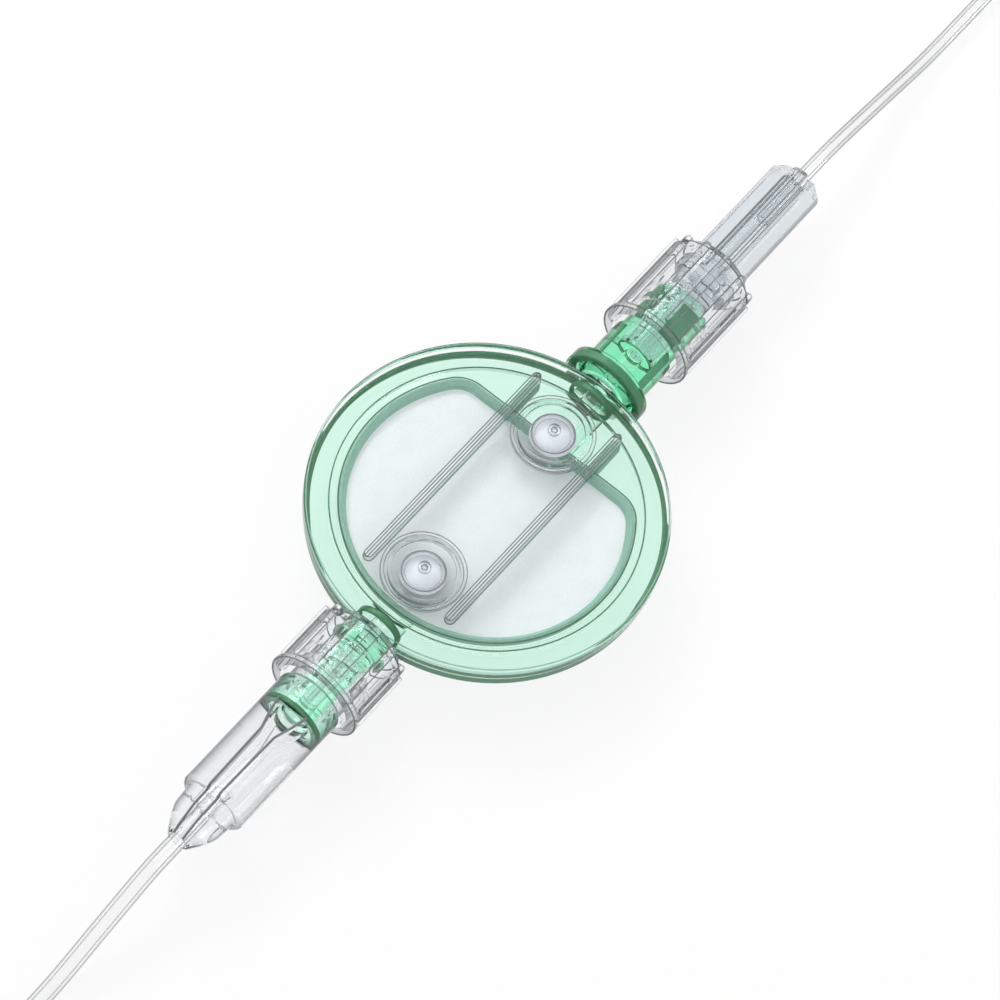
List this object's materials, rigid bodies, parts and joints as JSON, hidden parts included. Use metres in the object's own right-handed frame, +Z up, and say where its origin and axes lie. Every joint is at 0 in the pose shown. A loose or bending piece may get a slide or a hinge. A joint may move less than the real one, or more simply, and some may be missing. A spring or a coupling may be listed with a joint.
{
  "type": "iv infusion filter",
  "caption": "Round in-line infusion filter with membrane, air vents, luer-lock connectors and short tube lines.",
  "frame": {"origin": "on the floor under the middle of the housing and its two tube connectors, without the lines", "axes": "+X along the flow axis towards the inlet, +Z up out of the vented cover"},
  "size_m": [0.2112, 0.0531, 0.0106],
  "materials": {
    "green_plastic": "transparent mint green, glossy",
    "clear_plastic": "clear, glossy",
    "membrane": "matte fine-grained white",
    "vent_membrane": "matte pale grey white",
    "tube": "clear flexible tubing, glossy"
  },
  "bodies": {
    "housing": {"housing_base": "green_plastic", "housing_cover": "clear_plastic", "filter_membrane": "membrane", "inlet_vent_membrane": "vent_membrane", "outlet_vent_membrane": "vent_membrane", "inlet_vent_cap": "clear_plastic", "outlet_vent_cap": "clear_plastic"},
    "inlet_connector": {"inlet_tube_connector": "clear_plastic", "inlet_tube": "tube", "inlet_coil": "tube", "inlet_tube_end": "tube", "inlet_end_fitting": "clear_plastic"},
    "inlet_collar": {"inlet_lock_collar": "clear_plastic"},
    "outlet_collar": {"outlet_lock_collar": "clear_plastic"},
    "outlet_connector": {"outlet_tube_connector": "clear_plastic", "outlet_tube": "tube", "outlet_coil": "tube", "outlet_tube_end": "tube", "outlet_end_fitting": "clear_plastic"}
  },
  "joints": [
    {"name": "inlet_draw", "type": "slide", "parent": "housing", "child": "inlet_connector", "axis": [1, 0, 0], "range_m": [0, 0.005]},
    {"name": "inlet_collar_turn", "type": "hinge", "parent": "inlet_connector", "child": "inlet_collar", "pos_m": [0.03, 0, 0.0053], "axis": [1, 0, 0], "range_deg": [0, 360]},
    {"name": "outlet_collar_turn", "type": "hinge", "parent": "housing", "child": "outlet_collar", "pos_m": [-0.024, 0, 0.0053], "axis": [1, 0, 0], "range_deg": [0, 270]},
    {"name": "outlet_draw", "type": "slide", "parent": "housing", "child": "outlet_connector", "axis": [-1, 0, 0], "range_m": [0, 0.00375]}
  ],
  "couplings": [
    {"joint": "inlet_collar_turn", "follows": "inlet_draw", "rad_per_m": 1256.6},
    {"joint": "outlet_collar_turn", "follows": "outlet_draw", "rad_per_m": 1256.6}
  ]
}
